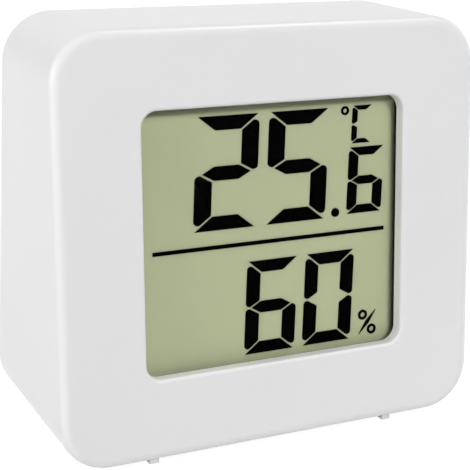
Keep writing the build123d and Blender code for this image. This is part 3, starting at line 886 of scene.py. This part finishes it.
def spun_form(mesh: bmesh.types.BMesh, profile: Profile, steps: int) -> None:
    """Spins a profile about Z into a closed form.

    Args:
        mesh: The bmesh that the form goes in.
        profile: Its points, as radius and height; it starts and ends on the axis, or is a ring.
        steps: How many faces go round.
    """
    points = [mesh.verts.new((radius, 0.0, height)) for radius, height in profile]
    lines = [mesh.edges.new(pair) for pair in zip(points, points[1:])]
    if profile[0][0] > 0.0:
        lines.append(mesh.edges.new((points[-1], points[0])))
    bmesh.ops.spin(
        mesh,
        geom=points + lines,
        cent=(0.0, 0.0, 0.0),
        axis=(0.0, 0.0, 1.0),
        angle=math.tau,
        steps=steps,
        use_merge=True,
    )
    bmesh.ops.remove_doubles(mesh, verts=mesh.verts, dist=MERGE_DISTANCE)


@dataclass(frozen=True)
class LeaningFrame:
    """A frame that leans with a face of the case: X across, Y back from the face and Z up it.

    Args:
        foot: Where the face's plane meets the bottom of the case.
        lean: How far the face leans, as a turn about X in radians.
    """

    foot: Point
    lean: float

    def matrix(self) -> Matrix:
        """The frame's own place and turn."""
        return Matrix.Translation(self.foot) @ Matrix.Rotation(self.lean, 4, "X")

    def stand(self, place: Point, backwards: bool = True) -> Matrix:
        """Stands something on a surface that is parallel to the face.

        Args:
            place: Where its foot goes: across, behind the face and up it.
            backwards: Whether its Z points away from the front of the case, or towards it.

        Returns:
            The matrix that turns and moves it there.
        """
        turn = -math.pi / 2 if backwards else math.pi / 2
        return self.matrix() @ Matrix.Translation(place) @ Matrix.Rotation(turn, 4, "X")

    def middle_of(self, node: str) -> Vector:
        """The middle of a node's box, measured in this frame."""
        low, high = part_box(node)
        return self.matrix().inverted() @ ((low + high) / 2)


FRONT_FACE = LeaningFrame((0.0, -0.01065, 0.0006), math.radians(-4.3))
BACK_FACE = LeaningFrame((0.0, 0.01065, 0.0006), math.radians(5.8961))


@dataclass
class SubAssembly:
    """A group of the frame's nodes that are dressed together.

    Args:
        wardrobe: The finishes.
        nodes: The nodes, by name.
    """

    wardrobe: Wardrobe
    nodes: tuple[str, ...] = ()

    def build(self) -> None:
        """Dresses each node in the finish of its slot."""
        for node in self.nodes:
            self.wardrobe.dress(node)


@dataclass
class Housing(SubAssembly):
    """The white front shell and the rails it stands on."""

    nodes: tuple[str, ...] = ("front_housing", "foot_rails")


@dataclass
class Back(SubAssembly):
    """The inset back plate with its four screws."""

    nodes: tuple[str, ...] = ("rear_cover", "cover_screws")


@dataclass
class PowerCell(SubAssembly):
    """The coin cell with its gasket, its contacts and the door over it.

    Args:
        can_shoulder: The middle of the can's shoulder, in the back face's frame.
        gasket_inner_radius: Just outside the cell's cap, in metres.
        gasket_outer_radius: Inside the can's rim.
        gasket_rise: How far the gasket stands on the shoulder.
        gasket_steps: How many faces go round it.
    """

    nodes: tuple[str, ...] = ("battery_door", "coin_cell", "positive_contact", "negative_contact")
    can_shoulder: Point = (0.0, -0.0057, 0.0176)
    gasket_inner_radius: float = 0.00881
    gasket_outer_radius: float = 0.00935
    gasket_rise: float = 0.00014
    gasket_steps: int = 96

    def build(self) -> None:
        """Dresses the nodes and adds the dark gasket between the cell's can and its cap."""
        super().build()
        mesh = bmesh.new()
        inner, outer, rise = self.gasket_inner_radius, self.gasket_outer_radius, self.gasket_rise
        ring = ((inner, 0.0), (outer, 0.0), (outer, rise / 2), (outer - rise, rise), (inner, rise))
        spun_form(mesh, ring, self.gasket_steps)
        mesh.transform(BACK_FACE.stand(self.can_shoulder, backwards=False))
        self.wardrobe.cover(finished_piece("cell_gasket", mesh), "switch_black", "case")


@dataclass
class UnitKey(SubAssembly):
    """The unit button and the key switch that it presses, with the switch's steel top.

    Args:
        switch_half_height: From the middle of the switch's body to its top, in metres.
        top_half_side: Half of the steel top's side.
        top_hole_radius: The radius of the hole round the plunger.
        top_thickness: The steel's thickness.
        top_segments: How many points go round the hole.
        rivet_across: How far the rivets are from the middle, across and up.
        rivet_radius: The radius of a rivet's head.
        rivet_rise: Its height.
        rivet_steps: How many faces go round it.
        rivet_profile: Its outline, as shares of its radius and height.
    """

    nodes: tuple[str, ...] = ("unit_button", "switch_plunger", "switch_body")
    switch_half_height: float = 0.00175
    top_half_side: float = 0.0029
    top_hole_radius: float = 0.00178
    top_thickness: float = 0.00012
    top_segments: int = 48
    rivet_across: float = 0.0022
    rivet_radius: float = 0.00038
    rivet_rise: float = 0.00016
    rivet_steps: int = 20
    rivet_profile: Profile = ((0.0, 1.0), (0.6, 0.8), (1.0, 0.25), (1.0, 0.0), (0.0, 0.0))

    def build(self) -> None:
        """Dresses the nodes and adds the switch's top plate and its four rivets."""
        super().build()
        middle = FRONT_FACE.middle_of("switch_body")
        middle.y += self.switch_half_height
        self._top_plate(FRONT_FACE.stand(tuple(middle)))
        middle.y += self.top_thickness
        self._rivets(middle)

    def _top_plate(self, place: Matrix) -> None:
        """Bridges a square outline to the plunger's hole and gives the plate its thickness.

        Args:
            place: The matrix that stands the plate on the switch.
        """
        mesh = bmesh.new()
        count = self.top_segments
        for radius in (self.top_hole_radius, self.top_half_side):
            bmesh.ops.create_circle(mesh, cap_ends=False, segments=count, radius=radius)
        for corner in mesh.verts[count:]:
            corner.co *= self.top_half_side / max(abs(corner.co.x), abs(corner.co.y))
        bmesh.ops.bridge_loops(mesh, edges=mesh.edges[:])
        raised = bmesh.ops.extrude_face_region(mesh, geom=mesh.faces[:], use_keep_orig=True)
        lifted = [item for item in raised["geom"] if isinstance(item, bmesh.types.BMVert)]
        bmesh.ops.translate(mesh, verts=lifted, vec=(0.0, 0.0, self.top_thickness))
        mesh.transform(place)
        plate = finished_piece("switch_top_plate", mesh, smooth=False)
        self.wardrobe.cover(plate, "contact_steel", "case")

    def _rivets(self, middle: Vector) -> None:
        """Sets a low round rivet head at each corner of the plate.

        Args:
            middle: The middle of the plate's top, in the front face's frame.
        """
        radius, rise = self.rivet_radius, self.rivet_rise
        dome = tuple((radius * out, rise * up) for out, up in self.rivet_profile)
        heads = bmesh.new()
        for across in (-self.rivet_across, self.rivet_across):
            for up in (-self.rivet_across, self.rivet_across):
                head = bmesh.new()
                spun_form(head, dome, self.rivet_steps)
                place = middle + Vector((across, 0.0, up))
                head.transform(FRONT_FACE.stand(tuple(place)))
                add_to(heads, head)
        self.wardrobe.cover(finished_piece("switch_rivets", heads), "switch_black", "case")


@dataclass
class Display(SubAssembly):
    """The liquid crystal display with its holder and its connector."""

    nodes: tuple[str, ...] = (
        "lcd_holder",
        "lcd_front_polariser",
        "lcd_front_glass",
        "lcd_edge_seal",
        "temperature_digits",
        "unit_mark",
        "divider_line",
        "humidity_digits",
        "lcd_rear_glass",
        "lcd_reflector",
        "zebra_strip",
    )


@dataclass(frozen=True)
class SolderLand:
    """Where a lead is soldered to the board.

    Args:
        across: Its place across the board, in metres.
        height: Its place up the front face's frame.
        half_width: Half of the joint's width.
        half_height: Half of its height.
    """

    across: float
    height: float
    half_width: float
    half_height: float


@dataclass
class Board(SubAssembly):
    """The circuit board with everything soldered to its back.

    Args:
        lands: Where leads are soldered: both contacts, the crystal's two and the bead's two.
        board_back: How far the board's back is behind the front face, in metres.
        solder_rise: The height of a joint.
        solder_steps: How many faces go round it.
        solder_profile: Its outline, as shares of its half width and height.
    """

    lands: tuple[SolderLand, ...] = (
        SolderLand(0.0, 0.02698, 0.0019, 0.0006),
        SolderLand(0.0, 0.01006, 0.0019, 0.0006),
        SolderLand(0.01155, 0.01558, 0.00042, 0.00055),
        SolderLand(0.01245, 0.01558, 0.00042, 0.00055),
        SolderLand(0.0065, 0.03361, 0.00045, 0.00045),
        SolderLand(0.0075, 0.03361, 0.00045, 0.00045),
    )
    board_back: float = 0.00545
    solder_rise: float = 0.0005
    solder_steps: int = 28
    solder_profile: Profile = (
        (0.0, 1.0),
        (0.4, 1.0),
        (0.5, 0.55),
        (0.68, 0.25),
        (1.0, 0.05),
        (1.0, 0.0),
        (0.0, 0.0),
    )
    nodes: tuple[str, ...] = (
        "circuit_board",
        "board_screws",
        "controller_blob",
        "humidity_sensor",
        "thermistor",
        "clock_crystal",
        "chip_capacitors",
        "chip_resistors",
    )

    def build(self) -> None:
        """Dresses the nodes and adds the solder around each lead."""
        super().build()
        joints = bmesh.new()
        for land in self.lands:
            joint = bmesh.new()
            spun_form(joint, self.solder_profile, self.solder_steps)
            size = (land.half_width, land.half_height, self.solder_rise, 1.0)
            place = FRONT_FACE.stand((land.across, self.board_back, land.height))
            joint.transform(place @ Matrix.Diagonal(size))
            add_to(joints, joint)
        self.wardrobe.cover(finished_piece("solder_joints", joints), "contact_steel", "case")


@dataclass(frozen=True)
class SoftLamp:
    """A square studio lamp that looks at the meter.

    Args:
        name: The lamp's name.
        towards: The direction from the meter to the lamp.
        distance: How far away it stands, in metres.
        size: The side of its face, in metres.
        level: How bright it makes a white face that looks straight at it, where 1 is plain white.
        mirrored: Whether glossy faces show it, or only the white surround.
    """

    name: str
    towards: Point
    distance: float
    size: float
    level: float
    mirrored: bool = True

    def hang(self, aim: Vector) -> None:
        """Adds the lamp to the scene.

        Args:
            aim: The point that it looks at.
        """
        lamp = bpy.data.lights.new(self.name, "AREA")
        lamp.shape = "SQUARE"
        lamp.size = self.size
        # The lamp spreads its energy over pi, and a white face spreads what it gets over pi.
        lamp.energy = self.level * math.pi**2 * self.distance**2
        holder = bpy.data.objects.new(self.name, lamp)
        direction = Vector(self.towards).normalized()
        holder.location = aim + direction * self.distance
        holder.rotation_euler = direction.to_track_quat("Z", "Y").to_euler()
        holder.visible_glossy = self.mirrored
        bpy.context.scene.collection.objects.link(holder)
        LOG.info("hung lamp %s", self.name)


@dataclass
class Studio:
    """A pale floor, a white surround and soft lamps.

    Args:
        aim: The point that the lamps look at.
        floor_side: The side of the floor, in metres.
        floor_pale: The floor's least and greatest brightness as a bounce of light.
        floor_grain_scale: Waves of the floor's grain in a metre.
        floor_shadow_share: How much of what is seen of the floor is shadow and light.
        floor_lit: How bright the lamps are taken to make it near the meter, where 1 is white.
        floor_fade: From where to where the floor turns plain white to the eye.
        surround_level: How bright the surround is as light.
        lamps: The lamps.
    """

    aim: Point = (0.0, 0.0, 0.02)
    floor_side: float = 6.0
    floor_pale: Span = (0.69, 0.71)
    floor_grain_scale: float = 40.0
    floor_shadow_share: float = 0.2
    floor_lit: float = 0.5
    floor_fade: Span = (0.3, 1.2)
    surround_level: float = 0.15
    lamps: tuple[SoftLamp, ...] = (
        SoftLamp("key_lamp", (0.105, -1.0, 0.53), 0.9, 0.25, 0.48, mirrored=False),
        SoftLamp("left_lamp", (-0.97, -0.1, 0.25), 0.6, 0.34, 0.585),
        SoftLamp("top_lamp", (0.42, -0.08, 0.88), 0.6, 0.14, 0.27),
        SoftLamp("back_lamp", (0.1, 0.9, 0.18), 0.6, 0.4, 0.6, mirrored=False),
        SoftLamp("right_lamp", (0.95, 0.22, 0.3), 0.6, 0.4, 0.32, mirrored=False),
    )

    def build(self) -> None:
        """Adds the floor, the world and the lamps."""
        self._surround()
        self._floor()
        for lamp in self.lamps:
            lamp.hang(Vector(self.aim))

    @staticmethod
    def _seen_directly(graph: Graph) -> bpy.types.NodeSocket:
        """Tells what looks at a surface.

        Args:
            graph: The graph of its material, or of the world.

        Returns:
            1 for the camera, a reflection or a clear pane, and 0 for plain light.
        """
        path = graph.add("ShaderNodeLightPath").outputs
        first = graph.maths("MAXIMUM", path["Is Camera Ray"], path["Is Glossy Ray"])
        return graph.maths("MAXIMUM", first, path["Is Transmission Ray"])

    def _surround(self) -> None:
        """White all round to the eye, with a softer level as light."""
        world = bpy.data.worlds.new("surround")
        bpy.context.scene.world = world
        world.use_nodes = True
        graph = Graph(world.node_tree)
        graph.tree.nodes.clear()
        seen = self._seen_directly(graph)
        ground = graph.add("ShaderNodeBackground")
        ground.inputs["Color"].default_value = (1.0, 1.0, 1.0, 1.0)
        level = graph.span(seen, WHOLE, (self.surround_level, 1.0))
        graph.join(level, ground.inputs["Strength"])
        graph.join(ground.outputs[0], graph.add("ShaderNodeOutputWorld").inputs["Surface"])

    def _floor(self) -> None:
        """A plain pale floor that is white to the eye and keeps a faint shadow."""
        mesh = bmesh.new()
        bmesh.ops.create_grid(mesh, x_segments=1, y_segments=1, size=self.floor_side / 2)
        floor = finished_piece("floor", mesh, smooth=False)
        material = bpy.data.materials.new("pale_floor")
        material.use_nodes = True
        graph = Graph(material.node_tree)
        graph.tree.nodes.clear()
        plain = graph.add("ShaderNodeBsdfDiffuse")
        faint = graph.add("ShaderNodeBsdfDiffuse")
        glow = graph.add("ShaderNodeEmission")
        grain = graph.noise(graph.place(), self.floor_grain_scale, FINE)
        darker, lighter = ((level,) * 3 for level in self.floor_pale)
        graph.join(graph.blend(grain, darker, lighter), plain.inputs["Color"])
        share = self.floor_shadow_share
        faint.inputs["Color"].default_value = (share, share, share, 1.0)
        away = graph.add("ShaderNodeVectorMath", operation="LENGTH")
        graph.join(graph.place(), away.inputs[0])
        least = 1.0 - share * self.floor_lit
        level = graph.span(away.outputs["Value"], self.floor_fade, (least, 1.0))
        graph.join(level, glow.inputs["Strength"])
        both = graph.add("ShaderNodeAddShader")
        graph.join(faint.outputs[0], both.inputs[0])
        graph.join(glow.outputs[0], both.inputs[1])
        choice = graph.add("ShaderNodeMixShader")
        graph.join(self._seen_directly(graph), choice.inputs[0])
        graph.join(plain.outputs[0], choice.inputs[1])
        graph.join(both.outputs[0], choice.inputs[2])
        graph.join(choice.outputs[0], graph.add("ShaderNodeOutputMaterial").inputs["Surface"])
        floor.data.materials.append(material)
        LOG.info("laid the floor")


@dataclass(frozen=True)
class PhotoCamera:
    """The camera of the photograph, in degrees and metres of the frame.

    Args:
        yaw: Its turn about Z.
        pitch: How far it looks up.
        roll: Its turn about its own line of sight.
        place: Where it stands.
        focal_share: The focal length as a share of the sensor's width.
        shift: How far the frame is shifted across and up, as shares of its width.
        clip_start: The nearest distance that it sees.
    """

    yaw: float = -27.2708
    pitch: float = -15.2195
    roll: float = -1.6388
    place: Point = (-0.056927, -0.114293, 0.055425)
    focal_share: float = 2.883867
    shift: tuple[float, float] = (-0.04046, -0.05965)
    clip_start: float = 0.005

    def build(self) -> None:
        """Adds the camera and makes it the scene's own."""
        turn = (
            Matrix.Rotation(math.radians(self.yaw), 3, "Z")
            @ Matrix.Rotation(math.radians(self.pitch), 3, "X")
            @ Matrix.Rotation(math.radians(self.roll), 3, "Y")
        )
        data = bpy.data.cameras.new("photo_camera")
        data.lens = self.focal_share * data.sensor_width
        data.shift_x, data.shift_y = self.shift
        data.clip_start = self.clip_start
        camera = bpy.data.objects.new("photo_camera", data)
        axes = Matrix((turn.col[0], turn.col[2], -turn.col[1])).transposed()
        camera.matrix_world = Matrix.Translation(self.place) @ axes.to_4x4()
        bpy.context.scene.collection.objects.link(camera)
        bpy.context.scene.camera = camera
        LOG.info("set the camera")


def main() -> None:
    """Sets the camera and the studio, then builds and dresses every sub-assembly."""
    logging.basicConfig(level=logging.INFO, format="%(name)s: %(message)s")
    PhotoCamera().build()
    Studio().build()
    wardrobe = Wardrobe()
    for kind in (Housing, Back, PowerCell, UnitKey, Display, Board):
        kind(wardrobe).build()
    bpy.context.scene.view_settings.view_transform = "Standard"


if __name__ == "__main__":
    main()
